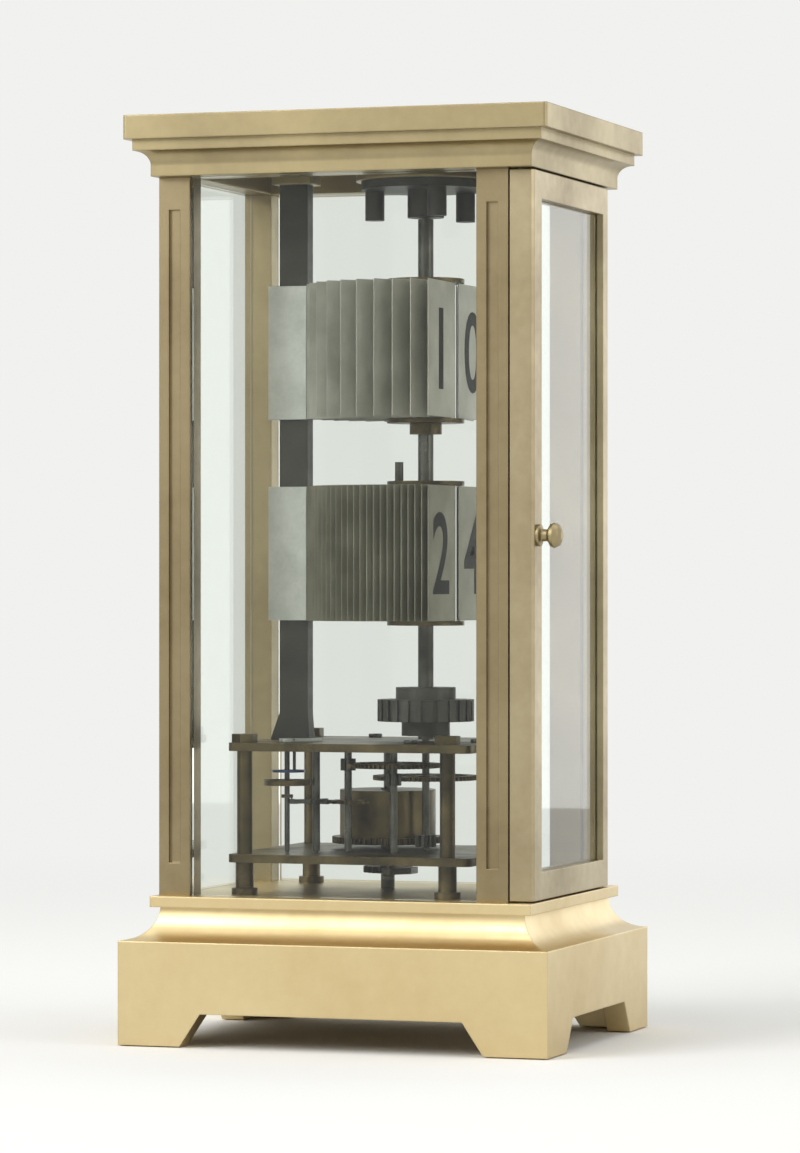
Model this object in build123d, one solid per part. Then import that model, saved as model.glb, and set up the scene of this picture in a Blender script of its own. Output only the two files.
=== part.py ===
from build123d import *
import math
import os

# Ticket clock: a tall glazed brass case on a moulded plinth. Two drums of hinged leaves
# turn on one upright arbor above a small spring movement with its wheels lying flat.
# The leaves face the door on the narrow front, which looks towards -Y. +Z is up.
# All sizes are millimetres.

# Case
height = 170.0
body_w = 50.0
body_d = 72.0
plinth_w = 66.0
plinth_d = 82.0
plinth_h = 27.0
fascia_h = 19.0
plinth_wall = 4.5
floor_t = 4.0
arris_t = 2.0
arris_lip = 1.5
apron_h = 6.0
foot_len = 12.0
apron_slope = 4.0
cornice_w = 64.0
cornice_d = 81.0
cornice_under = 159.0
rail_t = 2.0
cavetto_r = 2.6
quirk_t = 2.0
quirk_in = 1.4
cornice_recess = 3.5
pillar_s = 6.0
flute_w = 2.2
flute_deep = 0.7
glass_t = 1.0
glass_in = 1.1
glass_gap = 0.1

# Front door
door_t = 4.5
door_gap = 0.3
stile_w = 5.0
hinge_edge_r = 2.25
hinge_pin_r = 0.8
hinge_pin_in = 3.0
rebate = 1.2
knob_r = 2.3
knob_neck_r = 1.1
knob_out = 4.6
knob_z = 93.0

# Fits
run_fit = 0.05
side_gap = 0.3

# Ticket mechanism
arbor_y = -7.5
arbor_r = 1.45
leaf_w = 15.9
leaf_h = 25.0
leaf_t = 0.12
hinge_r = 6.4
page_gap_deg = 15.0
minute_leaf_n = 60
hour_leaf_n = 24
minute_z = 77.4
hour_z = 115.0
lug_w = 0.34
lug_h = 0.7
hole_t = 0.34
lug_play = 0.1
flip_pin_r = 0.15
disc_r = 7.2
disc_t = 0.8
spool_r = 3.2
trip_r = 0.8
trip_h = 3.6
trip_at = 5.0
collar_r = 9.0
collar_gap = 1.0
collar_h = 9.0
thrust_r = 3.0
thrust_h = 2.0

# Rear post, leaf brakes and detents
post_t = 3.0
post_d = 5.6
post_y0 = 15.3
post_foot = 7.8
post_foot_h = 5.0
brake_t = 0.8
brake_over = 1.9
detent_in = 1.2
detent_r = 1.0
finger_t = 0.7
finger_w = 2.4

# Top bearing
bearing_r = 12.0
bearing_t = 1.6
bearing_hub_r = 3.4
bearing_low = 152.0
prong_r = 1.8
prong_at = 10.0
prong_h = 5.4
pivot_len = 4.0

# Movement frame
plate_w = 42.0
plate_y0 = -22.7
plate_y1 = 24.2
plate_t = 1.5
low_plate_z = 33.0
top_plate_z = 53.5
corner_r = 1.5
frame_pillar_r = 1.4
pillar_in = 2.6
front_pillar_in = 5.0
leg_r = 2.4
nut_r = 2.4
nut_h = 1.6

# Train. Wheels lie flat, and their arbors stand between the two plates.
barrel_module = 0.34
great_teeth = 60
centre_pinion_teeth = 10
train_module = 0.3
centre_teeth = 64
third_teeth = 56
pinion_teeth = 8
great_z = 35.6
wheel_t = 0.8
great_t = 1.2
barrel_r = 9.0
barrel_top = 45.6
barrel_wall = 0.8
barrel_arbor_r = 1.3
barrel_core_r = 2.4
centre_z = 47.8
third_z = 50.4
pinion_len = 2.2
train_arbor_r = 0.7
pivot_r = 0.4
barrel_deg = 55.0
third_deg = 165.0
escape_deg = 80.0
lever_deg = 112.0
escape_teeth = 15
escape_r = 3.9
escape_root_r = 3.1
escape_z = 43.6
lever_from_escape = 5.9
balance_from_lever = 5.4
lever_t = 0.8
pallet_gap = 0.4
fork_slot = 2.2
impulse_pin_r = 0.15
balance_r = 4.4
balance_rim = 0.8
balance_z = 47.0
balance_t = 1.0
roller_r = 1.1
hair_wire = 0.2
hair_turns = 3
main_turns = 3
hair_pitch = 0.8
hair_in_r = 1.1
hair_z = 49.6

# Winding work below the low plate
ratchet_teeth = 20
ratchet_r = 4.6
ratchet_deep = 0.7
ratchet_t = 1.2
ratchet_z = 30.0
click_deg = 200.0
click_r = 1.3
key_top = 21.0
key_low = 6.0
key_hub_r = 2.6
key_wing = 17.0
key_wing_h = 9.0
key_wing_t = 2.0
regulator_len = 6.5
regulator_t = 0.6

OUT = "parts"
os.makedirs(OUT, exist_ok=True)


def block(x0, x1, y0, y1, z0, z1):
    """A box given by its limits."""
    centre = ((x0 + x1) / 2, (y0 + y1) / 2, (z0 + z1) / 2)
    return Pos(*centre) * Box(x1 - x0, y1 - y0, z1 - z0)


def rod(x, y, r, z0, z1):
    """An upright cylinder."""
    return Pos(x, y, (z0 + z1) / 2) * Cylinder(r, z1 - z0)


def centred(w, d, z0, z1):
    """A box centred on the case's middle line."""
    return block(-w / 2, w / 2, -d / 2, d / 2, z0, z1)


def polar(start, dist, deg):
    """A plan point at a distance and direction from another."""
    a = math.radians(deg)
    return (start[0] + dist * math.cos(a), start[1] + dist * math.sin(a))


def plate_of(points, z, t):
    """A flat plate of a polygon outline."""
    face = make_face(Polyline(*points, close=True))
    return Pos(0, 0, z) * extrude(face, t)


def cove_cuts(w, d, r, z):
    """Four long cylinders that cut a cove round a block's upper or lower edge."""
    cuts = []
    for side in (-1, 1):
        cuts.append(Pos(side * w / 2, 0, z) * Rot(90, 0, 0) * Cylinder(r, d * 2))
        cuts.append(Pos(0, side * d / 2, z) * Rot(0, 90, 0) * Cylinder(r, w * 2))
    return cuts


# Plan positions of the movement
centre_at = (0.0, arbor_y)
great_pitch_r = barrel_module * great_teeth / 2
centre_pinion_r = barrel_module * centre_pinion_teeth / 2
barrel_at = polar(centre_at, great_pitch_r + centre_pinion_r, barrel_deg)
pinion_pitch_r = train_module * pinion_teeth / 2
centre_pitch_r = train_module * centre_teeth / 2
third_pitch_r = train_module * third_teeth / 2
third_at = polar(centre_at, centre_pitch_r + pinion_pitch_r, third_deg)
escape_at = polar(third_at, third_pitch_r + pinion_pitch_r, escape_deg)
lever_at = polar(escape_at, lever_from_escape, lever_deg)
balance_at = polar(lever_at, balance_from_lever, lever_deg)
low_plate_top = low_plate_z + plate_t
top_plate_top = top_plate_z + plate_t
collar_z0 = top_plate_top + collar_gap
detent_at = (plate_w / 2 - detent_in, plate_y0 + detent_in)
pillar_x = plate_w / 2 - pillar_in
corner_y = (plate_y0 + front_pillar_in, plate_y1 - pillar_in)
corner_at = [(sx * pillar_x, y) for sx in (-1, 1) for y in corner_y]

# Plan positions of the case
door_back = -body_d / 2 + door_t
pillar_front = door_back + door_gap
glass_low = plinth_h + glass_gap / 2
glass_high = cornice_under - glass_gap / 2
hinge_at = (body_w / 2 - hinge_edge_r, door_back - hinge_edge_r)
door_low = plinth_h + side_gap
door_high = cornice_under - side_gap
minute_top = minute_z + leaf_h
hour_top = hour_z + leaf_h
post_y1 = post_y0 + post_d
arbor_top = bearing_low + pivot_len


def base_plinth():
    """Hollow moulded plinth on four bracket feet."""
    cove_r = plinth_h - arris_t - fascia_h
    body = centred(plinth_w, plinth_d, 0, plinth_h - arris_t)
    body -= cove_cuts(plinth_w, plinth_d, cove_r, plinth_h - arris_t)
    lip = 2 * (arris_lip - cove_r)
    body += centred(plinth_w + lip, plinth_d + lip, plinth_h - arris_t, plinth_h)
    inner_w = plinth_w - 2 * plinth_wall
    inner_d = plinth_d - 2 * plinth_wall
    body -= centred(inner_w, inner_d, 0, fascia_h - 2)
    body -= centred(inner_w - cove_r, inner_d - cove_r, 0, plinth_h - floor_t)
    for w, d, turn in ((plinth_w, plinth_d, 0), (plinth_d, plinth_w, 90)):
        low = w / 2 - foot_len
        outline = [(-low, 0), (-low + apron_slope, apron_h), (low - apron_slope, apron_h), (low, 0)]
        face = make_face(Polyline(*outline, close=True))
        cut = extrude(Plane.XZ * face, d, both=True)
        body -= Rot(0, 0, turn) * cut
    body -= rod(*hinge_at, hinge_pin_r, plinth_h - hinge_pin_in, plinth_h)
    body -= rod(*barrel_at, barrel_arbor_r + 4 * run_fit, plinth_h - floor_t, plinth_h)
    return body


def cornice():
    """Top slab over a quirk, a cavetto and a rail, with a shallow recess below."""
    slab_under = cornice_under + rail_t + cavetto_r + quirk_t
    body = centred(cornice_w, cornice_d, slab_under, height)
    edge = cornice_w - 2 * quirk_in
    edge_d = cornice_d - 2 * quirk_in
    body += centred(edge, edge_d, cornice_under + rail_t, slab_under)
    body -= cove_cuts(edge, edge_d, cavetto_r, cornice_under + rail_t)
    rail_w = edge - 2 * cavetto_r
    rail_d = edge_d - 2 * cavetto_r
    body += centred(rail_w, rail_d, cornice_under, cornice_under + rail_t)
    inner_w = body_w - 2 * pillar_s
    inner_d = body_d - 2 * pillar_s - door_t
    recess_y = door_t / 2
    recess = centred(inner_w, inner_d, cornice_under, cornice_under + cornice_recess)
    boss = rod(0, arbor_y, bearing_r + 1, cornice_under, cornice_under + cornice_recess)
    seat = block(-post_t, post_t, post_y0 - 1, post_y1 + 1, cornice_under, cornice_under + cornice_recess)
    body -= (Pos(0, recess_y, 0) * recess) - boss - seat
    body -= rod(*hinge_at, hinge_pin_r, cornice_under, cornice_under + hinge_pin_in)
    return fillet(body.edges().filter_by(Axis.Z).group_by(Axis.Z)[-1], 0.6)


def corner_pillar(side_x, y0):
    """Square pillar with a flute on its outer side face."""
    x_in = side_x * (body_w / 2 - pillar_s)
    x_out = side_x * body_w / 2
    low, high = sorted((x_in, x_out))
    body = block(low, high, y0, y0 + pillar_s, plinth_h, cornice_under)
    flute_y = y0 + pillar_s / 2
    flute_low = plinth_h + pillar_s
    flute_high = cornice_under - pillar_s
    cut = block(
        x_out - flute_deep, x_out + flute_deep,
        flute_y - flute_w / 2, flute_y + flute_w / 2, flute_low, flute_high,
    )
    return body - cut


def side_glass(side_x):
    """Long side pane between the front and rear pillars."""
    x_out = side_x * (body_w / 2 - glass_in)
    low, high = sorted((x_out, x_out - side_x * glass_t))
    y0 = pillar_front + pillar_s + glass_gap
    y1 = body_d / 2 - pillar_s - glass_gap
    return block(low, high, y0, y1, glass_low, glass_high)


def rear_glass():
    """Narrow rear pane between the rear pillars."""
    half = body_w / 2 - pillar_s - glass_gap
    y1 = body_d / 2 - glass_in
    return block(-half, half, y1 - glass_t, y1, glass_low, glass_high)


def door_window(extra):
    """Half width and height limits of the door's window, widened by extra."""
    half = body_w / 2 - stile_w + extra
    return half, door_low + stile_w - extra, door_high - stile_w + extra


def door_frame():
    """Door frame with a glass rebate and a round hinge edge."""
    y0 = -body_d / 2
    body = block(-body_w / 2, body_w / 2, y0, door_back, door_low, door_high)
    hinge_side = body.edges().filter_by(Axis.Z).group_by(Axis.X)[-1]
    body = fillet(hinge_side, min(hinge_edge_r, door_t / 2) - 0.01)
    half, low, high = door_window(0)
    body -= block(-half, half, y0, door_back, low, high)
    half, low, high = door_window(rebate)
    body -= block(-half, half, y0 + door_t / 2 - glass_t, y0 + door_t / 2, low, high)
    for z0, z1 in ((door_low, door_low + hinge_pin_in), (door_high - hinge_pin_in, door_high)):
        body -= rod(*hinge_at, hinge_pin_r + run_fit, z0, z1)
    free_side = body.edges().filter_by(Axis.Z).group_by(Axis.X)[0].sort_by(Axis.Y)
    return chamfer(free_side[0], 0.5)


def door_glass():
    """Pane held in the door's rebate."""
    half, low, high = door_window(rebate - glass_gap)
    y0 = -body_d / 2 + door_t / 2 - glass_t
    return block(-half, half, y0 + 0.05, y0 + glass_t - 0.05, low, high)


def door_knob():
    """Small turned pull knob."""
    line = [
        (0, 0), (knob_neck_r * 1.8, 0), (knob_neck_r * 1.8, 0.6), (knob_neck_r, 0.9),
        (knob_neck_r, knob_out - knob_r - 0.4), (knob_r * 0.9, knob_out * 0.55), (knob_r, knob_out * 0.7),
        (knob_r * 0.8, knob_out * 0.9), (knob_r * 0.4, knob_out), (0, knob_out),
    ]
    body = revolve(make_face(Polyline(*line, close=True)), Axis.Y)
    x = -body_w / 2 + stile_w / 2
    return Pos(x, -body_d / 2, knob_z) * Rot(180, 0, 0) * body


def hinge_pins():
    """Top and bottom door pins, set in the cornice and the plinth."""
    low = rod(*hinge_at, hinge_pin_r, plinth_h - hinge_pin_in, door_low + hinge_pin_in - side_gap)
    high = rod(*hinge_at, hinge_pin_r, door_high - hinge_pin_in + side_gap, cornice_under + hinge_pin_in)
    return Compound(children=[low, high])


def leaf_place(phi, psi):
    """Where a leaf hinged at disc angle phi points in direction psi, both from the front."""
    a = math.radians(phi)
    x = hinge_r * math.sin(a)
    y = arbor_y - hinge_r * math.cos(a)
    return Pos(x, y, 0) * Rot(0, 0, psi - 90)


def leaf(z0):
    """One thin leaf with a lug at each end of its hinge edge, lying along +X."""
    z1 = z0 + leaf_h
    w = lug_w / 2
    points = [
        (-w, z0 - lug_h), (w, z0 - lug_h), (w, z0), (leaf_w, z0), (leaf_w, z1), (w, z1),
        (w, z1 + lug_h), (-w, z1 + lug_h),
    ]
    face = make_face(Polyline(*[(x, 0, z) for x, z in points], close=True))
    return Pos(0, leaf_t / 2, 0) * extrude(face, leaf_t, dir=(0, -1, 0))


def flip_leaf(z0):
    """The falling leaf, on round pins that turn in the discs."""
    w = lug_w / 2
    body = block(-w, leaf_w, -leaf_t / 2, leaf_t / 2, z0, z0 + leaf_h)
    body += rod(0, 0, flip_pin_r, z0 - lug_h, z0 + lug_h)
    body += rod(0, 0, flip_pin_r, z0 + leaf_h - lug_h, z0 + leaf_h + lug_h)
    return leaf_place(0, 90) * body


def leaf_angles(count):
    """Disc angle and direction of each leaf that rests in the fan."""
    span = 360 - 2 * page_gap_deg
    steps = count - 2
    return [(page_gap_deg + span * i / steps, 90 + 180 * i / steps) for i in range(count - 1)]


def leaf_fan(count, z0):
    """The leaves of one drum that lie behind the two open pages."""
    one = leaf(z0)
    return Compound(children=[leaf_place(phi, psi) * one for phi, psi in leaf_angles(count)])


def spool(count, z0, bore):
    """Leaf drum: a hub between two discs, with a hole in each disc for every lug."""
    z1 = z0 + leaf_h
    holes = [leaf_place(0, 90) * Circle(flip_pin_r + run_fit)]
    for phi, psi in leaf_angles(count):
        holes.append(leaf_place(phi, psi) * Rectangle(lug_w + 2 * lug_play, hole_t))
    disc = Pos(0, arbor_y) * (Circle(disc_r) - Circle(bore)) - holes
    low = Pos(0, 0, z0 - lug_play - disc_t) * extrude(disc, disc_t)
    high = Pos(0, 0, z1 + lug_play) * extrude(disc, disc_t)
    hub = rod(0, arbor_y, spool_r, z0 - lug_play, z1 + lug_play)
    hub -= rod(0, arbor_y, bore, z0 - 1, z1 + 1)
    return low + hub + high


def main_arbor():
    """The upright arbor of the drums, stepped down where it runs in the movement."""
    x, y = centre_at
    body = rod(x, y, arbor_r, top_plate_top + side_gap, bearing_low)
    body += rod(x, y, pivot_r * 2, bearing_low, arbor_top)
    body += rod(x, y, train_arbor_r, low_plate_top + side_gap, top_plate_top + side_gap)
    return body + rod(x, y, pivot_r, low_plate_z, low_plate_top + side_gap)


def drive_collar():
    """Knurled friction collar that drives the drums and sets the time by hand."""
    grips = 24
    ring = Circle(collar_r)
    cuts = [Rot(0, 0, 360 / grips * i) * Pos(collar_r, 0) * Rectangle(0.8, 0.8) for i in range(grips)]
    mid = extrude(ring - cuts - Circle(arbor_r), collar_h * 0.45)
    low = extrude(Circle(collar_r * 0.5) - Circle(arbor_r), collar_h * 0.3)
    high = extrude(Circle(collar_r * 0.62) - Circle(arbor_r), collar_h * 0.25)
    body = low + Pos(0, 0, collar_h * 0.3) * mid + Pos(0, 0, collar_h * 0.75) * high
    return Pos(0, arbor_y, collar_z0) * body


def ring_on_arbor(r, z0, h):
    """A plain collar fixed on the main arbor."""
    return rod(0, arbor_y, r, z0, z0 + h) - rod(0, arbor_y, arbor_r, z0, z0 + h)


def top_bearing():
    """Plate under the cornice with the arbor's top bearing and three stand-offs."""
    z1 = cornice_under
    body = rod(0, arbor_y, bearing_r, z1 - bearing_t, z1)
    body += rod(0, arbor_y, bearing_hub_r, bearing_low + side_gap, z1 - bearing_t)
    for deg in (90, 210, 330):
        x, y = polar(centre_at, prong_at, deg)
        body += rod(x, y, prong_r, z1 - bearing_t - prong_h, z1 - bearing_t)
    return body - rod(0, arbor_y, pivot_r * 2 + run_fit, bearing_low, arbor_top + side_gap)


def rear_post():
    """Flat bar from the movement's top plate to the cornice, on a flared foot."""
    bar = block(-post_t / 2, post_t / 2, post_y0, post_y1, top_plate_top, cornice_under)
    outline = [
        (post_y0 - 0.4, 0), (post_y0 - 0.4 + post_foot, 0), (post_y1, post_foot_h), (post_y0, post_foot_h),
    ]
    face = make_face(Polyline(*[(0, y, top_plate_top + z) for y, z in outline], close=True))
    return bar + extrude(face, post_t / 2, dir=(1, 0, 0), both=True)


def leaf_brake(z0):
    """Bright channel round the post that stops the fan from swinging back."""
    half = post_t / 2
    y1 = post_y1 + brake_over
    body = block(-half - brake_t, half + brake_t, post_y0, y1, z0, z0 + leaf_h)
    body -= block(-half, half, post_y0, post_y1, z0, z0 + leaf_h)
    return body - block(-half, half, post_y1 + brake_t, y1, z0 + leaf_h * 0.2, z0 + leaf_h * 0.8)


def detent_post():
    """Slim post that carries the two detent fingers."""
    return rod(*detent_at, detent_r, top_plate_top, cornice_under)


def detent_finger(z_leaf_top):
    """Finger that points at the arbor and stops just outside the sweep of the leaves."""
    x, y = detent_at
    z0 = z_leaf_top - finger_w
    away = math.dist(detent_at, centre_at)
    reach = away - hinge_r - leaf_w - 2 * side_gap
    toward = math.degrees(math.atan2(arbor_y - y, -x))
    beak = Pos(x, y, z0 + finger_w / 2) * Rot(0, 0, toward) * Pos(reach / 2, 0, 0) * Box(reach, finger_t, finger_w)
    ring = rod(x, y, detent_r * 1.5, z0, z0 + finger_w)
    return ring + beak - rod(x, y, detent_r, z0, z0 + finger_w)


def rounded_plate(z0, holes):
    """Movement plate with round corners and its bearing holes."""
    w, d = plate_w, plate_y1 - plate_y0
    face = Pos(0, (plate_y0 + plate_y1) / 2) * RectangleRounded(w, d, corner_r)
    body = Pos(0, 0, z0) * extrude(face, plate_t)
    for (x, y), r in holes:
        body -= rod(x, y, r, z0 - 1, z0 + plate_t + 1)
    return body


def low_plate():
    """Lower movement plate."""
    small = pivot_r + run_fit
    holes = [(at, small) for at in (centre_at, third_at, escape_at, lever_at, balance_at)]
    holes.append((barrel_at, barrel_arbor_r + run_fit))
    return rounded_plate(low_plate_z, holes)


def top_plate():
    """Upper movement plate."""
    small = pivot_r + run_fit
    holes = [(at, small) for at in (third_at, escape_at, lever_at, balance_at)]
    holes.append((centre_at, train_arbor_r + run_fit))
    holes.append((barrel_at, barrel_arbor_r * 0.6 + run_fit))
    return rounded_plate(top_plate_z, holes)


def movement_legs():
    """Four turned legs under the lower plate."""
    legs = []
    for x, y in corner_at:
        leg = rod(x, y, leg_r, plinth_h, plinth_h + 1.2) + rod(x, y, leg_r * 0.7, plinth_h, low_plate_z)
        legs.append(leg)
    return Compound(children=legs)


def frame_pillars():
    """Four pillars between the plates."""
    body = [rod(x, y, frame_pillar_r, low_plate_top, top_plate_z) for x, y in corner_at]
    return Compound(children=body)


def frame_nuts():
    """Four hexagon nuts on the upper plate."""
    return Compound(children=[
        Pos(x, y, top_plate_top) * extrude(RegularPolygon(nut_r, 6), nut_h) for x, y in corner_at
    ])


def gear_outline(teeth, module, slim, turn):
    """Trapezoid teeth on a wheel. Slim is the tooth's share of the pitch."""
    pitch_r = module * teeth / 2
    step = 2 * math.pi / teeth
    root_r = pitch_r - 1.15 * module
    tip_r = pitch_r + 0.8 * module
    half = step * slim / 2
    small = teeth <= 12
    root_half = half * (1.0 if small else 1.45)
    tip_half = half * (0.42 if small else 0.5)
    points = []
    for i in range(teeth):
        mid = math.radians(turn) + step * i
        for r, off in ((root_r, -root_half), (tip_r, -tip_half), (tip_r, tip_half), (root_r, root_half)):
            points.append((r * math.cos(mid + off), r * math.sin(mid + off)))
    return make_face(Polyline(*points, close=True))


def spoked(face, rim_r, hub_r, spokes, spoke_w):
    """Cuts the openings between a wheel's spokes out of its face."""
    ring = Circle(rim_r) - Circle(hub_r)
    for i in range(spokes):
        ring -= Rot(0, 0, 360 / spokes * i) * Pos(rim_r / 2, 0) * Rectangle(rim_r + hub_r, spoke_w)
    return face - ring


def mesh_turn(drive_teeth, drive_turn, driven_teeth, deg):
    """Turn that puts a driven wheel's gap on the tooth line, in degrees."""
    phase = (deg - drive_turn) * drive_teeth / 360
    driven_phase = 0.5 - phase
    return deg + 180 - driven_phase * 360 / driven_teeth


def wheel(at, teeth, z0, turn, spokes):
    """Spoked train wheel."""
    face = gear_outline(teeth, train_module, 0.4, turn)
    rim = train_module * teeth / 2 - 1.6
    face = spoked(face, rim, 2.0, spokes, 1.0) - Circle(train_arbor_r)
    return Pos(*at, z0) * extrude(face, wheel_t)


def pinion_arbor(at, teeth, module, z_pinion, turn):
    """Arbor cut from one bar with its pinion, on two thin pivots."""
    x, y = at
    body = rod(x, y, train_arbor_r, low_plate_top + side_gap, top_plate_z - side_gap)
    body += rod(x, y, pivot_r, low_plate_z, top_plate_top)
    return body + Pos(x, y, z_pinion) * extrude(gear_outline(teeth, module, 0.36, turn), pinion_len)


def great_wheel_barrel():
    """Spring barrel with the great wheel cut on its lower flange."""
    x, y = barrel_at
    face = gear_outline(great_teeth, barrel_module, 0.4, 0) - Circle(barrel_arbor_r + run_fit)
    body = Pos(x, y, great_z) * extrude(face, great_t)
    z0 = great_z + great_t
    body += rod(x, y, barrel_r, z0, barrel_top)
    return body - rod(x, y, barrel_r - barrel_wall, z0, barrel_top)


def barrel_cover():
    """Snap-in barrel lid."""
    x, y = barrel_at
    inner = barrel_r - barrel_wall
    body = rod(x, y, inner, barrel_top - barrel_wall, barrel_top)
    return body - rod(x, y, barrel_arbor_r + run_fit, barrel_top - 2, barrel_top + 1)


def spiral_band(at, r0, pitch, turns, width, z0, h):
    """Flat spiral of half-turn arcs, as one band of constant width."""
    edges = []
    angle, centre, radius = 0, (0.0, 0.0), r0
    for i in range(turns * 2):
        edges.append(CenterArc((centre[0], centre[1], 0), radius, angle, 180))
        step = pitch / 2
        shift = step if angle == 0 else -step
        centre = (centre[0] + shift, centre[1])
        radius += step
        angle = 180 - angle
    path = Wire(edges)
    start = path @ 0
    profile = Plane(origin=start, x_dir=(1, 0, 0), z_dir=path % 0) * Rectangle(width, h)
    return Pos(*at, z0) * sweep(profile, path)


def mainspring():
    """Mainspring let down in its barrel."""
    inner = barrel_core_r + 1.0
    pitch = (barrel_r - barrel_wall - inner - 0.5) / main_turns
    tall = barrel_top - great_z - great_t - 2 * barrel_wall - 1
    z_mid = (great_z + great_t + barrel_top - barrel_wall) / 2
    return spiral_band(barrel_at, inner, pitch, main_turns, 0.3, z_mid, tall)


def barrel_arbor():
    """Winding arbor through the barrel, down to the key square."""
    x, y = barrel_at
    body = rod(x, y, barrel_arbor_r, key_top - 4, barrel_top + side_gap)
    core_low = great_z + great_t + 0.4
    body += rod(x, y, barrel_core_r, core_low, barrel_top - barrel_wall - 0.4)
    return body + rod(x, y, barrel_arbor_r * 0.6, barrel_top, top_plate_top)


def ratchet_wheel():
    """Saw-toothed ratchet on the winding arbor."""
    points = []
    step = 360 / ratchet_teeth
    for i in range(ratchet_teeth):
        for r, deg in ((ratchet_r, i * step), (ratchet_r - ratchet_deep, i * step + 1.5)):
            points.append(polar((0, 0), r, deg))
    face = make_face(Polyline(*points, close=True)) - Circle(barrel_arbor_r)
    return Pos(*barrel_at, ratchet_z) * extrude(face, ratchet_t)


click_pivot = polar(barrel_at, ratchet_r + 2.6, click_deg)


def click():
    """Pawl that rides on the ratchet, on its own screw."""
    x, y = click_pivot
    beak = polar(barrel_at, ratchet_r + side_gap, click_deg + 62)
    tail = polar(barrel_at, ratchet_r + 1.7, click_deg + 62)
    side_in = polar(barrel_at, ratchet_r + 1.4, click_deg + 2)
    side_out = polar(click_pivot, click_r, click_deg)
    mid_out = polar(barrel_at, ratchet_r + 2.9, click_deg + 34)
    mid_in = polar(barrel_at, ratchet_r + 0.9, click_deg + 32)
    body = plate_of([side_in, mid_in, beak, tail, mid_out, side_out], ratchet_z, ratchet_t)
    body += rod(x, y, click_r, ratchet_z, ratchet_z + ratchet_t)
    return body - rod(x, y, pivot_r + run_fit, ratchet_z - 1, ratchet_z + ratchet_t + 1)


def click_screw():
    """Shouldered screw that holds the click under the lower plate."""
    x, y = click_pivot
    head = rod(x, y, click_r * 0.8, ratchet_z - 0.9, ratchet_z - 0.1)
    return head + rod(x, y, pivot_r, ratchet_z - 0.1, low_plate_z)


def winding_key():
    """Winged key on the arbor, in the hollow of the plinth."""
    x, y = barrel_at
    body = rod(x, y, key_hub_r, key_low + key_wing_h, key_top)
    wing = Pos(x, y, key_low + key_wing_h / 2) * Box(key_wing, key_wing_t, key_wing_h)
    body += fillet(wing.edges().filter_by(Axis.Y), 3.0)
    return body - rod(x, y, barrel_arbor_r, key_top - 4, key_top)


def escape_wheel():
    """Club-toothed escape wheel."""
    points = []
    step = 360 / escape_teeth
    for i in range(escape_teeth):
        for r, deg in ((escape_root_r, 0), (escape_r, 6), (escape_r, 9), (escape_root_r, 11)):
            points.append(polar((0, 0), r, i * step + deg))
    face = make_face(Polyline(*points, close=True))
    face = spoked(face, escape_root_r - 0.6, 1.2, 4, 0.5) - Circle(train_arbor_r)
    return Pos(*escape_at, escape_z) * extrude(face, wheel_t * 0.75)


def lever_arbor():
    """Thin arbor of the lever."""
    x, y = lever_at
    body = rod(x, y, train_arbor_r, low_plate_top + side_gap, top_plate_z - side_gap)
    return body + rod(x, y, pivot_r, low_plate_z, top_plate_top)


def pallet_lever():
    """Lever with two pallets astride the escape wheel and a fork for the roller pin."""
    reach = escape_r + pallet_gap
    spread = 34.0
    arms = []
    for side in (-1, 1):
        tip = polar(escape_at, reach, lever_deg + side * spread)
        tip_out = polar(escape_at, reach + 1.0, lever_deg + side * (spread + 8))
        near = polar(lever_at, 0.9, lever_deg + side * 120)
        back = polar(lever_at, 0.9, lever_deg + side * 40)
        arms.append(plate_of([near, tip, tip_out, back], escape_z, lever_t))
    fork_end = balance_from_lever - 0.6
    shank = Pos(fork_end / 2, 0, lever_t / 2) * Box(fork_end, 0.8, lever_t)
    fork = Pos(fork_end - 0.7, 0, lever_t / 2) * Box(1.6, fork_slot + 0.8, lever_t)
    slot = Pos(fork_end, 0, lever_t / 2) * Box(1.9, fork_slot, lever_t)
    tail = Pos(*lever_at, escape_z) * Rot(0, 0, lever_deg) * (shank + fork - slot)
    body = rod(*lever_at, 1.2, escape_z, escape_z + lever_t) + arms[0] + arms[1] + tail
    return body - rod(*lever_at, train_arbor_r, escape_z - 1, escape_z + 2)


def balance_staff():
    """Balance staff with its roller and impulse pin."""
    x, y = balance_at
    body = rod(x, y, train_arbor_r * 0.7, low_plate_top + side_gap, top_plate_z - side_gap)
    body += rod(x, y, pivot_r * 0.8, low_plate_z, top_plate_top)
    roller_z = escape_z + lever_t + side_gap
    body += rod(x, y, roller_r, roller_z, roller_z + 0.6)
    pin_x, pin_y = polar(balance_at, roller_r - 0.25, lever_deg + 180)
    return body + rod(pin_x, pin_y, impulse_pin_r, escape_z, roller_z)


def balance_wheel():
    """Two-armed balance with rim screws."""
    face = Circle(balance_r) - Circle(balance_r - balance_rim)
    face += Rectangle(2 * balance_r - balance_rim, 0.9) + Circle(1.1)
    face -= Circle(train_arbor_r * 0.7)
    return Pos(*balance_at, balance_z) * extrude(face, balance_t)


def hairspring():
    """Hairspring of real turns between its stud and the staff."""
    return spiral_band(balance_at, hair_in_r, hair_pitch, hair_turns, hair_wire, hair_z, 0.4)


def hairspring_stud():
    """Stud on the upper plate that holds the spring's outer end."""
    x = balance_at[0] + hair_in_r + hair_pitch * hair_turns + hair_wire / 2 + 0.35
    return rod(x, balance_at[1], 0.3, hair_z - 0.4, top_plate_z)


def regulator_lever():
    """Regulator index round the balance bearing, on the upper plate."""
    body = Circle(1.5) + Pos(regulator_len / 2, 0) * Rectangle(regulator_len, 0.9)
    body -= Circle(pivot_r + 2 * run_fit)
    place = Pos(*balance_at, top_plate_top + run_fit) * Rot(0, 0, 300)
    return place * extrude(body, regulator_t)


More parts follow.
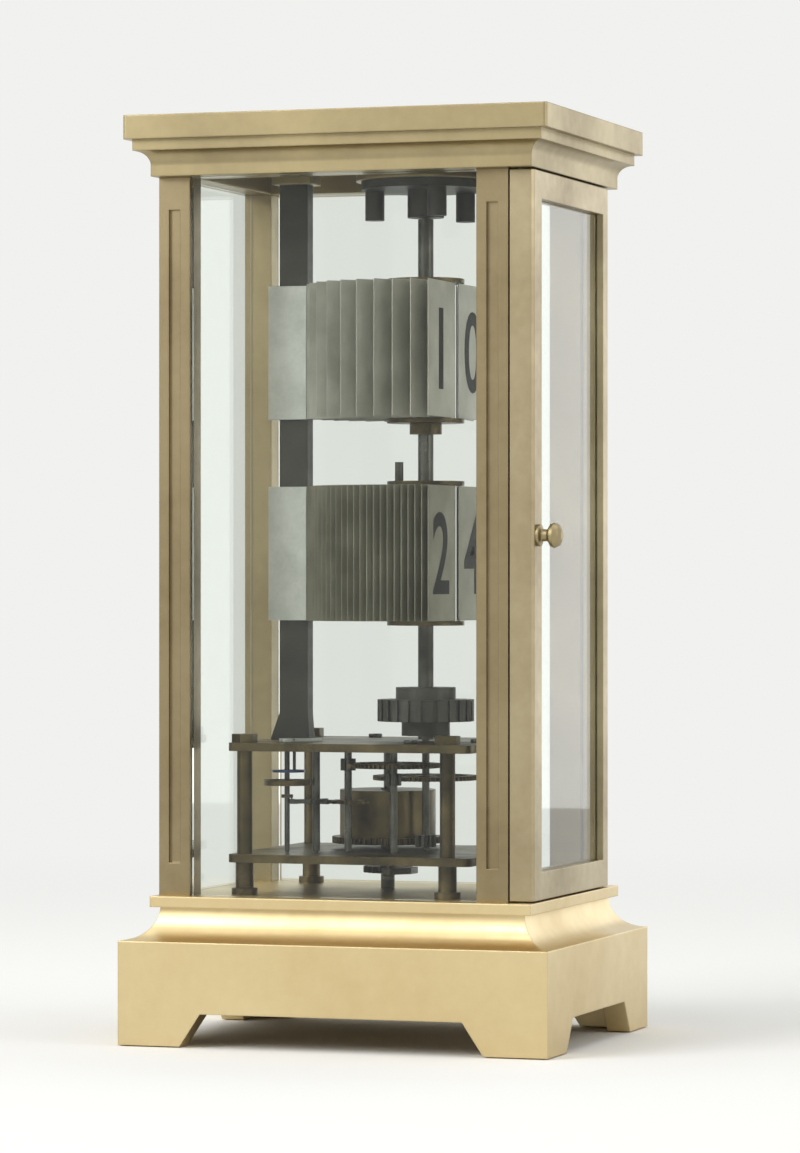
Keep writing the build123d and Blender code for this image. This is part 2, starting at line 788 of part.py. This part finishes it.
great_turn = 0.0
centre_pinion_turn = mesh_turn(great_teeth, great_turn, centre_pinion_teeth, barrel_deg + 180)
centre_turn = 0.0
third_pinion_turn = mesh_turn(centre_teeth, centre_turn, pinion_teeth, third_deg)
third_turn = 0.0
escape_pinion_turn = mesh_turn(third_teeth, third_turn, pinion_teeth, escape_deg)


def centre_pinion():
    """Leaf pinion on the foot of the main arbor, in mesh with the great wheel."""
    face = gear_outline(centre_pinion_teeth, barrel_module, 0.36, centre_pinion_turn)
    face -= Circle(train_arbor_r)
    return Pos(*centre_at, great_z - 0.3) * extrude(face, pinion_len)


def third_arbor():
    """Third arbor with its pinion."""
    low = centre_z - (pinion_len - wheel_t) / 2
    return pinion_arbor(third_at, pinion_teeth, train_module, low, third_pinion_turn)


def escape_arbor():
    """Escape arbor with its pinion."""
    low = third_z - (pinion_len - wheel_t) / 2
    return pinion_arbor(escape_at, pinion_teeth, train_module, low, escape_pinion_turn)


def trip_pin():
    """Pin on the minute drum that steps the hour drum at the full hour."""
    x, y = polar(centre_at, trip_at, 100)
    z0 = minute_top + lug_play + disc_t
    return rod(x, y, trip_r, z0, z0 + trip_h)


rear_pillar_y = body_d / 2 - pillar_s
PARTS = {
    "base_plinth": base_plinth(),
    "cornice": cornice(),
    "pillar_front_left": corner_pillar(-1, pillar_front),
    "pillar_front_right": corner_pillar(1, pillar_front),
    "pillar_rear_left": corner_pillar(-1, rear_pillar_y),
    "pillar_rear_right": corner_pillar(1, rear_pillar_y),
    "glass_left": side_glass(-1),
    "glass_right": side_glass(1),
    "glass_rear": rear_glass(),
    "hinge_pins": hinge_pins(),
    "door_frame": door_frame(),
    "door_glass": door_glass(),
    "door_knob": door_knob(),
    "main_arbor": main_arbor(),
    "drive_collar": drive_collar(),
    "minute_spool": spool(minute_leaf_n, minute_z, arbor_r),
    "minute_leaves": leaf_fan(minute_leaf_n, minute_z),
    "minute_flip_leaf": flip_leaf(minute_z),
    "trip_pin": trip_pin(),
    "hour_thrust_collar": ring_on_arbor(thrust_r, hour_z - lug_play - disc_t - thrust_h - run_fit, thrust_h),
    "hour_spool": spool(hour_leaf_n, hour_z, arbor_r + run_fit),
    "hour_leaves": leaf_fan(hour_leaf_n, hour_z),
    "hour_flip_leaf": flip_leaf(hour_z),
    "top_bearing": top_bearing(),
    "rear_post": rear_post(),
    "minute_brake": leaf_brake(minute_z),
    "hour_brake": leaf_brake(hour_z),
    "detent_post": detent_post(),
    "minute_detent": detent_finger(minute_top),
    "hour_detent": detent_finger(hour_top),
    "low_plate": low_plate(),
    "top_plate": top_plate(),
    "movement_legs": movement_legs(),
    "frame_pillars": frame_pillars(),
    "frame_nuts": frame_nuts(),
    "spring_barrel": great_wheel_barrel(),
    "barrel_cover": barrel_cover(),
    "mainspring": mainspring(),
    "barrel_arbor": barrel_arbor(),
    "ratchet_wheel": ratchet_wheel(),
    "click": click(),
    "click_screw": click_screw(),
    "winding_key": winding_key(),
    "centre_pinion": centre_pinion(),
    "centre_wheel": wheel(centre_at, centre_teeth, centre_z, centre_turn, 5),
    "third_arbor": third_arbor(),
    "third_wheel": wheel(third_at, third_teeth, third_z, third_turn, 5),
    "escape_arbor": escape_arbor(),
    "escape_wheel": escape_wheel(),
    "lever_arbor": lever_arbor(),
    "pallet_lever": pallet_lever(),
    "balance_staff": balance_staff(),
    "balance_wheel": balance_wheel(),
    "hairspring": hairspring(),
    "hairspring_stud": hairspring_stud(),
    "regulator_lever": regulator_lever(),
}

for name, shape in PARTS.items():
    export_step(shape, f"{OUT}/{name}.step")
print("least gap of the hairspring to itself, mm:", round(hair_pitch - hair_wire, 3))
print("barrel, third, escape, lever, balance:", barrel_at, third_at, escape_at, lever_at, balance_at)
print("hinge:", hinge_at, "click pivot:", click_pivot)
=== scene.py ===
# %% [markdown]
# # A ticket clock in a glazed brass case
# The clock is a tall glass box with moulded brass ends. Inside, two drums of hinged leaves
# stand on one upright arbor over a small movement. The construction is loaded as a fixed
# frame, so this lesson is about its finish: aged brass, plate glass, nickel and celluloid.

# %% Load the frame
import bpy
import math
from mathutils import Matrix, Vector


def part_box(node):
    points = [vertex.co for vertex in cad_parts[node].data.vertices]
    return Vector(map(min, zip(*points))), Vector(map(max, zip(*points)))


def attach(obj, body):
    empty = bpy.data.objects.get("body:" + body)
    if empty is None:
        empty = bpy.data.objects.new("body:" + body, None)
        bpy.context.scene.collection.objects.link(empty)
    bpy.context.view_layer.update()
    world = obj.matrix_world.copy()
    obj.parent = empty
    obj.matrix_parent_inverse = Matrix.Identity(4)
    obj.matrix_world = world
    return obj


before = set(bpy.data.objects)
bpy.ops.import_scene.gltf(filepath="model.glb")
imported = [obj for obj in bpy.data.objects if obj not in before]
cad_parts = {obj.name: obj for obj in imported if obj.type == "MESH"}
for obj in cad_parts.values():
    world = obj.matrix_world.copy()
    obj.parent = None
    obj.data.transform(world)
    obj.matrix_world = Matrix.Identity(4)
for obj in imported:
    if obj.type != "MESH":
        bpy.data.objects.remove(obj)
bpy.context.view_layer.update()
MM = 0.001

# %% [markdown]
# ## Colours and nodes
# Paint charts and photographs give colours as sRGB, and shaders work in linear light, so one
# function turns a hex value to linear. A second one adds a node with its settings and links.

# %% Colour and node helpers


def linear(hex_colour):
    """An sRGB hex colour as linear RGBA."""
    parts = [int(hex_colour[i:i + 2], 16) / 255 for i in (1, 3, 5)]
    return [c / 12.92 if c <= 0.04045 else ((c + 0.055) / 1.055) ** 2.4 for c in parts] + [1.0]


def add(tree, kind, inputs=None, **settings):
    """Adds a node. An input is a value, or the output socket that feeds it."""
    node = tree.nodes.new(kind)
    for name, value in settings.items():
        setattr(node, name, value)
    for key, value in (inputs or {}).items():
        if isinstance(value, bpy.types.NodeSocket):
            tree.links.new(value, node.inputs[key])
        else:
            node.inputs[key].default_value = value
    return node


def new_material(name):
    """An empty node material with its output node."""
    material = bpy.data.materials.new(name)
    material.use_nodes = True
    material.node_tree.nodes.clear()
    return material, material.node_tree, material.node_tree.nodes.new("ShaderNodeOutputMaterial")


def per_metre(size_mm):
    """Texture scale for a pattern whose grain is this many millimetres across."""
    return 1.0 / (size_mm * MM)


# %% [markdown]
# ## Metals
# A metal's colour is all in its reflection. Old clock brass was polished and lacquered, and
# the lacquer dulls in clouds a few centimetres wide, with finer specks where it has worn
# through. One recipe with a noise for the clouds, a finer one for the specks and a stretched
# one for the polishing lines serves brass, nickel and steel, with other colours and sizes.
# The Bevel node rounds the light on sharp edges, where years of polishing have softened them.

# %% Metal recipe
SPECKS_PER_CLOUD = 14
SPECK_SHARE = 0.22
PATINA_FROM = 0.42
PATINA_TO = 0.82
LINE_STRETCH = 0.03
LINE_DEPTH = 0.02 * MM
LINE_STRENGTH = 0.08


def worn_metal(name, light, dark, rough, cloud_mm, line_mm, edge_mm, line_axis=2, metallic=1.0):
    """Metal with patina clouds, worn specks, polishing lines and softened edges."""
    material, tree, out = new_material(name)
    place = add(tree, "ShaderNodeTexCoord").outputs["Object"]
    clouds = add(tree, "ShaderNodeTexNoise",
                 {"Vector": place, "Scale": per_metre(cloud_mm), "Detail": 5.0, "Roughness": 0.55})
    specks = add(tree, "ShaderNodeTexNoise",
                 {"Vector": place, "Scale": per_metre(cloud_mm / SPECKS_PER_CLOUD), "Detail": 3.0})
    patina = add(tree, "ShaderNodeMath",
                 {0: specks.outputs[0], 1: SPECK_SHARE, 2: clouds.outputs[0]}, operation="MULTIPLY_ADD")
    tone = add(tree, "ShaderNodeMapRange",
               {0: patina.outputs[0], 1: PATINA_FROM, 2: PATINA_TO, 3: 0.0, 4: 1.0})
    colour = add(tree, "ShaderNodeMix", {0: tone.outputs[0], 6: linear(dark), 7: linear(light)},
                 data_type="RGBA")
    stretch = [1.0, 1.0, 1.0]
    stretch[line_axis] = LINE_STRETCH
    along = add(tree, "ShaderNodeMapping", {"Vector": place, "Scale": stretch})
    lines = add(tree, "ShaderNodeTexNoise",
                {"Vector": along.outputs[0], "Scale": per_metre(line_mm), "Detail": 2.0})
    gloss = add(tree, "ShaderNodeMapRange",
                {0: patina.outputs[0], 1: PATINA_FROM, 2: PATINA_TO, 3: rough + 0.1, 4: rough - 0.04})
    edges = add(tree, "ShaderNodeBevel", {"Radius": edge_mm * MM}, samples=4)
    bump = add(tree, "ShaderNodeBump",
               {"Strength": LINE_STRENGTH, "Distance": LINE_DEPTH, "Height": lines.outputs[0],
                "Normal": edges.outputs[0]})
    shader = add(tree, "ShaderNodeBsdfPrincipled",
                 {"Base Color": colour.outputs[2], "Metallic": metallic, "Roughness": gloss.outputs[0],
                  "Normal": bump.outputs[0]})
    tree.links.new(shader.outputs[0], out.inputs[0])
    return material


# The case is one brass given in lit and shaded copies: the plinth and door frame are lighter as painted light
# from the left, and the cornice, knob and pillars are darker as painted shade.
lit_plinth_brass = worn_metal(
    "lacquered_plinth_brass_painted_light", light="#E0CD9F", dark="#CEB98B",
    rough=0.32, cloud_mm=40.0, line_mm=0.35, edge_mm=0.35, line_axis=1)
shaded_case_brass = worn_metal(
    "lacquered_cornice_brass_painted_shade", light="#AE9F79", dark="#938666",
    rough=0.33, cloud_mm=34.0, line_mm=0.35, edge_mm=0.35, line_axis=1)
shaded_pillar_brass = worn_metal(
    "pillar_brass_painted_shade", light="#9F9070", dark="#807255",
    rough=0.32, cloud_mm=30.0, line_mm=0.3, edge_mm=0.3)
lit_door_brass = worn_metal(
    "door_brass_painted_light", light="#B5A888", dark="#95876A",
    rough=0.34, cloud_mm=30.0, line_mm=0.3, edge_mm=0.3)
# The movement brass and turned steel are darkened as painted shade, for the shade inside the glazed case.
shaded_movement_brass = worn_metal(
    "movement_brass_painted_shade", light="#6B5F43", dark="#393225",
    rough=0.36, cloud_mm=8.0, line_mm=0.25, edge_mm=0.1)
shaded_turned_steel = worn_metal(
    "shaded_turned_steel", light="#65645D", dark="#3A3934",
    rough=0.3, cloud_mm=6.0, line_mm=0.2, edge_mm=0.08)
grey_steel = worn_metal(
    "grey_painted_steel", light="#4C4B43", dark="#33322C",
    rough=0.45, cloud_mm=9.0, line_mm=0.4, edge_mm=0.15, metallic=0.55)
dull_nickel = worn_metal(
    "dull_nickel_plate", light="#C9CAC4", dark="#AAABA4",
    rough=0.34, cloud_mm=8.0, line_mm=0.25, edge_mm=0.1)
blued_steel = worn_metal(
    "blued_spring_steel", light="#4B5A78", dark="#2E3650",
    rough=0.28, cloud_mm=3.0, line_mm=0.1, edge_mm=0.03)
print("metals made")

# %% [markdown]
# ## Plate glass
# The panes are a millimetre of old plate glass, faintly green where the eye looks along
# them. A clear glass shader darkens what stands behind it in a small scene, because light
# has to find its way in, so the shader lets shadow rays straight through. Real panes have an
# index of 1.5 and mirror a room that is mostly dark. This studio is bright all round and
# would veil the movement, so the panes' index is set lower.

# %% Glass
PANE_INDEX = 1.3
RIPPLE_MM = 30.0
RIPPLE_DEPTH = 0.2 * MM


def plate_glass(name, tint):
    """Clear glass that lets light into the case."""
    material, tree, out = new_material(name)
    place = add(tree, "ShaderNodeTexCoord").outputs["Object"]
    ripple = add(tree, "ShaderNodeTexNoise",
                 {"Vector": place, "Scale": per_metre(RIPPLE_MM), "Detail": 1.0})
    bump = add(tree, "ShaderNodeBump",
               {"Strength": 0.04, "Distance": RIPPLE_DEPTH, "Height": ripple.outputs[0]})
    glass = add(tree, "ShaderNodeBsdfPrincipled",
                {"Base Color": linear(tint), "Roughness": 0.02, "IOR": PANE_INDEX, "Transmission Weight": 1.0,
                 "Normal": bump.outputs[0]})
    clear = add(tree, "ShaderNodeBsdfTransparent", {"Color": linear(tint)})
    path = add(tree, "ShaderNodeLightPath")
    mixed = add(tree, "ShaderNodeMixShader",
                {0: path.outputs["Is Shadow Ray"], 1: glass.outputs[0], 2: clear.outputs[0]})
    tree.links.new(mixed.outputs[0], out.inputs[0])
    return material


pane = plate_glass("old_plate_glass", "#F4F7F4")

# %% [markdown]
# ## Celluloid leaves
# The leaves are thin ivory celluloid: smooth, a little glossy, and stained in soft patches as
# they yellow. The minute leaves are coloured darker than the hour leaves as painted shade, for
# the shadow among their closely packed leaves. The same recipe, nearly without shine, gives the black ink of
# the numerals.

# %% Celluloid
STAIN_MM = 7.0
GRAIN_MM = 0.5
GRAIN_DEPTH = 0.02 * MM


def celluloid(name, light, dark, shine=0.5):
    """Thin aged celluloid sheet, or the matt ink printed on it."""
    material, tree, out = new_material(name)
    place = add(tree, "ShaderNodeTexCoord").outputs["Object"]
    stains = add(tree, "ShaderNodeTexNoise",
                 {"Vector": place, "Scale": per_metre(STAIN_MM), "Detail": 4.0})
    tone = add(tree, "ShaderNodeMapRange", {0: stains.outputs[0], 1: 0.35, 2: 0.65, 3: 0.0, 4: 1.0})
    colour = add(tree, "ShaderNodeMix", {0: tone.outputs[0], 6: linear(dark), 7: linear(light)},
                 data_type="RGBA")
    grain = add(tree, "ShaderNodeTexNoise",
                {"Vector": place, "Scale": per_metre(GRAIN_MM), "Detail": 2.0})
    bump = add(tree, "ShaderNodeBump",
               {"Strength": 0.06, "Distance": GRAIN_DEPTH, "Height": grain.outputs[0]})
    shader = add(tree, "ShaderNodeBsdfPrincipled",
                 {"Base Color": colour.outputs[2], "Roughness": 0.42, "Specular IOR Level": shine,
                  "Normal": bump.outputs[0]})
    tree.links.new(shader.outputs[0], out.inputs[0])
    return material


hour_leaf_sheet = celluloid("ivory_celluloid", "#B3B1A5", "#9B998C")
# Minute leaves: a darker colour as painted shade, for the shadow among the dense leaves.
shaded_minute_leaf_sheet = celluloid("ivory_celluloid_painted_shade", "#858270", "#6C6957")
black_ink = celluloid("black_printing_ink", "#1A1917", "#100F0E", shine=0.05)

# %% [markdown]
# ## Dressing the construction
# Every node of the frame takes a finish by name. The frame's meshes stay as they are, and
# only their material slots change.

# %% Finishes by node
FINISHES = {
    lit_plinth_brass: ["base_plinth"],
    shaded_case_brass: ["cornice", "door_knob"],
    shaded_pillar_brass: ["pillar_front_left", "pillar_front_right", "pillar_rear_left", "pillar_rear_right"],
    lit_door_brass: ["door_frame"],
    pane: ["glass_left", "glass_right", "glass_rear", "door_glass"],
    shaded_turned_steel: ["hinge_pins", "main_arbor", "trip_pin", "third_arbor", "escape_arbor", "lever_arbor",
                   "balance_staff", "click_screw", "barrel_arbor", "ratchet_wheel", "click",
                   "centre_pinion", "pallet_lever", "hairspring_stud"],
    grey_steel: ["rear_post", "top_bearing", "detent_post", "drive_collar"],
    dull_nickel: ["minute_brake", "hour_brake", "minute_detent", "hour_detent", "regulator_lever"],
    shaded_movement_brass: ["low_plate", "top_plate", "movement_legs", "frame_pillars", "frame_nuts",
                     "spring_barrel", "barrel_cover", "centre_wheel", "third_wheel", "escape_wheel",
                     "balance_wheel", "winding_key", "minute_spool", "hour_spool",
                     "hour_thrust_collar"],
    blued_steel: ["hairspring", "mainspring"],
    hour_leaf_sheet: ["hour_leaves", "hour_flip_leaf"],
    shaded_minute_leaf_sheet: ["minute_leaves", "minute_flip_leaf"],
}
dressed = 0
for material, names in FINISHES.items():
    for name in names:
        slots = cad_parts[name].data.materials
        slots.clear()
        slots.append(material)
        dressed += 1
print("nodes dressed:", dressed, "of", len(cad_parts))

# %% [markdown]
# ## Numerals
# Each open page shows one plain digit, the tens on the left and the units on the right, for
# the hour above and the minutes below. A digit is a text curve made into a mesh, stood up on
# the page and given a hair of thickness. The falling leaf carries the units on its front and
# the next tens on its back, as a book's page does, and the page that it uncovers has the
# next units.

# %% Helpers for made pieces


def only(piece):
    """Deselects everything and makes one piece active."""
    bpy.ops.object.select_all(action="DESELECT")
    piece.select_set(True)
    bpy.context.view_layer.objects.active = piece


def settle(piece, name, material, body):
    """Applies a piece's place, names it, gives its finish and rides it on a body."""
    only(piece)
    bpy.ops.object.transform_apply(location=True, rotation=True, scale=True)
    piece.name = name
    piece.data.materials.clear()
    piece.data.materials.append(material)
    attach(piece, body)


# %% Digits on the pages
INK = 0.01 * MM
PRINT_GAP = 0.01 * MM
DIGIT_TALL = 21 * MM
STROKE = 0.3 * MM
LEAF_T = 0.12 * MM
PAGE_MID = 8.4 * MM
FAN_SHIFT = 1.6 * MM


def page_digit(text, name, body, page_x, face_y, middle_z, to_door=True):
    """A digit printed on a page's front, or on a leaf's back, centred across it."""
    bpy.ops.object.select_all(action="DESELECT")
    bpy.ops.object.text_add(location=(0, 0, 0))
    digit = bpy.context.object
    digit.data.body = text
    digit.data.align_x = "CENTER"
    digit.data.align_y = "CENTER"
    digit.data.size = DIGIT_TALL
    digit.data.extrude = INK
    digit.data.offset = STROKE
    digit.data.resolution_u = 6
    only(digit)
    bpy.ops.object.convert(target="MESH")
    digit = bpy.context.object
    digit.rotation_euler = (math.radians(90), 0, 0 if to_door else math.pi)
    bpy.ops.object.transform_apply(location=False, rotation=True, scale=False)
    spread = [v.co for v in digit.data.vertices]
    mid_x = (min(p.x for p in spread) + max(p.x for p in spread)) / 2
    mid_z = (min(p.z for p in spread) + max(p.z for p in spread)) / 2
    lift = (PRINT_GAP + INK) * (-1 if to_door else 1)
    digit.location = (page_x - mid_x, face_y + lift, middle_z - mid_z)
    settle(digit, name, black_ink, body)


LEFT_PAGE = -PAGE_MID - FAN_SHIFT
RIGHT_PAGE = PAGE_MID + FAN_SHIFT
HALF_T = LEAF_T / 2
for drum, tens, units, next_tens, next_units in (("hour", *"1011"), ("minute", *"2425")):
    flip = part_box(drum + "_flip_leaf")
    mid_z = (flip[0][2] + flip[1][2]) / 2
    hinge_y = (flip[0][1] + flip[1][1]) / 2
    page_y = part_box(drum + "_leaves")[0][1]
    falling = drum + "_flip"
    turning = drum + "_drum"
    page_digit(units, f"{drum}_units_digit", falling, PAGE_MID, hinge_y - HALF_T, mid_z)
    page_digit(next_tens, f"{drum}_back_digit", falling, PAGE_MID, hinge_y + HALF_T, mid_z, False)
    page_digit(tens, f"{drum}_tens_digit", turning, LEFT_PAGE, page_y, mid_z)
    page_digit(next_units, f"{drum}_next_digit", turning, RIGHT_PAGE, page_y, mid_z)
print("digits made: 4 on each drum")

# %% [markdown]
# ## Screws
# On a real movement slotted screws like these hold the small cocks and bridges to the plate.
# They are turned on a lathe and the slot is milled across the head. Here a head starts as a
# cylinder, its edges are bevelled, and a thin block is cut out for the slot. Each screw
# stops at its own angle, because no one lines them up when a clock is put together.

# %% One screw head and its copies
HEAD_R = 1.3 * MM
HEAD_H = 0.7 * MM
SLOT_W = 0.35 * MM
EDGE_SHARE = 0.14


def screw_head(name, at, turn_deg):
    """A slotted cheese-head screw seated on a face."""
    bpy.ops.object.select_all(action="DESELECT")
    bpy.ops.mesh.primitive_cylinder_add(vertices=32, radius=HEAD_R, depth=HEAD_H)
    head = bpy.context.object
    bevel = head.modifiers.new("soft_edge", "BEVEL")
    bevel.width = HEAD_R * EDGE_SHARE
    bevel.segments = 3
    bevel.limit_method = "ANGLE"
    bpy.ops.object.modifier_apply(modifier=bevel.name)
    bpy.ops.mesh.primitive_cube_add(size=1)
    cutter = bpy.context.object
    cutter.scale = (HEAD_R * 3, SLOT_W, HEAD_H * 0.5)
    cutter.location = (0, 0, HEAD_H / 2)
    slot = head.modifiers.new("slot", "BOOLEAN")
    slot.operation = "DIFFERENCE"
    slot.object = cutter
    only(head)
    bpy.ops.object.modifier_apply(modifier=slot.name)
    bpy.data.objects.remove(cutter)
    head.rotation_euler = (0, 0, math.radians(turn_deg))
    head.location = (at[0], at[1], at[2] + HEAD_H / 2)
    settle(head, name, shaded_turned_steel, "case")


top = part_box("top_plate")[1][2]
SCREWS = [(-16.5, -10.0, 20), (16.5, -4.0, 75), (16.5, 8.0, 130), (8.5, 19.5, 160), (-6.0, -19.5, 50)]
for i, (x, y, turn) in enumerate(SCREWS):
    screw_head(f"plate_screw_{i + 1}", (x * MM, y * MM, top), turn)
print("screws made:", len(SCREWS))

# %% [markdown]
# ## The table, the light and the camera
# The clock stands on a pale ground that runs off without an edge. Near the clock the ground
# is matt and takes its shadow, and further off it glows in the background's own colour. The
# room is seen and mirrored at full brightness, but it lights the clock at about half of
# that, so that the lamps give the shape. The lamps are large and soft, with the stronger one to the left. A fourth stands where the door
# reflects it to the eye, which makes the narrow front the palest side. The camera is level
# with the middle of the clock, turned a little from its wide side towards the door.

# %% Ground and world
BACKGROUND = "#F1F1EF"
FLOOR_HALF = 3.0
NEAR_FLOOR = 0.16
FAR_FLOOR = 0.62
FLOOR_DROP = 0.0002
ROOM_LIGHT = 0.55

bpy.ops.object.select_all(action="DESELECT")
bpy.ops.mesh.primitive_plane_add(size=2 * FLOOR_HALF, location=(0, 0, -FLOOR_DROP))
floor = bpy.context.object
floor.name = "pale_ground"
floor_finish, tree, out = new_material("matt_pale_ground")
place = add(tree, "ShaderNodeTexCoord").outputs["Object"]
away = add(tree, "ShaderNodeVectorMath", {0: place}, operation="LENGTH")
fade = add(tree, "ShaderNodeMapRange",
           {0: away.outputs["Value"], 1: NEAR_FLOOR, 2: FAR_FLOOR, 3: 0.0, 4: 1.0},
           interpolation_type="SMOOTHSTEP")
matt = add(tree, "ShaderNodeBsdfDiffuse", {"Color": linear(BACKGROUND)})
glow = add(tree, "ShaderNodeEmission", {"Color": linear(BACKGROUND), "Strength": 1.0})
mixed = add(tree, "ShaderNodeMixShader", {0: fade.outputs[0], 1: matt.outputs[0], 2: glow.outputs[0]})
tree.links.new(mixed.outputs[0], out.inputs[0])
floor.data.materials.append(floor_finish)

scene = bpy.context.scene
world = bpy.data.worlds.new("soft_studio")
scene.world = world
world.use_nodes = True
tree = world.node_tree
tree.nodes.clear()
path = add(tree, "ShaderNodeLightPath")
seen = add(tree, "ShaderNodeMath", {0: path.outputs["Is Camera Ray"], 1: path.outputs["Is Glossy Ray"]},
           operation="MAXIMUM")
seen = add(tree, "ShaderNodeMath", {0: seen.outputs[0], 1: path.outputs["Is Transmission Ray"]},
           operation="MAXIMUM")
level = add(tree, "ShaderNodeMapRange", {0: seen.outputs[0], 3: ROOM_LIGHT, 4: 1.0})
sky = add(tree, "ShaderNodeBackground", {"Color": linear(BACKGROUND), "Strength": level.outputs[0]})
add(tree, "ShaderNodeOutputWorld", {0: sky.outputs[0]})

# %% Lamps


def lamp(name, place, aim, size, power):
    """A large soft lamp that faces a point."""
    light = bpy.data.lights.new(name, "AREA")
    light.shape = "RECTANGLE"
    light.size = size[0]
    light.size_y = size[1]
    light.energy = power
    holder = bpy.data.objects.new(name, light)
    holder.location = place
    holder.rotation_euler = (Vector(aim) - Vector(place)).to_track_quat("-Z", "Y").to_euler()
    scene.collection.objects.link(holder)


VIEW_DEG = 288.5
MIDDLE_HIGH = 0.085
GLANCE_AWAY = 0.9
view = math.radians(VIEW_DEG)
toward_eye = Vector((math.sin(view), -math.cos(view), 0))
eye_right = Vector((math.cos(view), math.sin(view), 0))
middle = Vector((0, 0, MIDDLE_HIGH))
left_place = toward_eye * 0.55 - eye_right * 0.9 + Vector((0, 0, 0.75))
right_place = toward_eye * 0.5 + eye_right * 0.9 + Vector((0, 0, 0.5))
mirrored_eye = Vector((-toward_eye.x, toward_eye.y, 0))
lamp("left_window", left_place, middle, (0.7, 0.9), 9.0)
lamp("right_fill", right_place, middle, (0.6, 0.8), 2.5)
lamp("overhead", Vector((0, 0, 1.1)), middle, (0.8, 0.8), 4.0)
lamp("door_glance", middle + mirrored_eye * GLANCE_AWAY, middle, (0.5, 0.7), 0.85)
print("lamps:", len(bpy.data.lights))

# %% Camera
PHOTO_W = 800
PHOTO_H = 1153
SENSOR = 36.0
EYE_AWAY = 0.893
EYE_HIGH = 0.0856
NEAR_CORNER_AWAY = 0.850
PX_PER_MM = 5.63
OBJECT_MID_PX = 388

camera_data = bpy.data.cameras.new("eye")
camera_data.sensor_fit = "VERTICAL"
camera_data.sensor_height = SENSOR
camera_data.lens = PX_PER_MM / MM * NEAR_CORNER_AWAY / PHOTO_H * SENSOR
camera = bpy.data.objects.new("eye", camera_data)
step_right = (PHOTO_W / 2 - OBJECT_MID_PX) * EYE_AWAY / (PX_PER_MM / MM * NEAR_CORNER_AWAY)
camera.location = toward_eye * EYE_AWAY + eye_right * step_right + Vector((0, 0, EYE_HIGH))
camera.rotation_euler = (-toward_eye).to_track_quat("-Z", "Y").to_euler()
scene.collection.objects.link(camera)
scene.camera = camera
scene.view_settings.view_transform = "Standard"
print("lens:", round(camera_data.lens, 1), "mm")
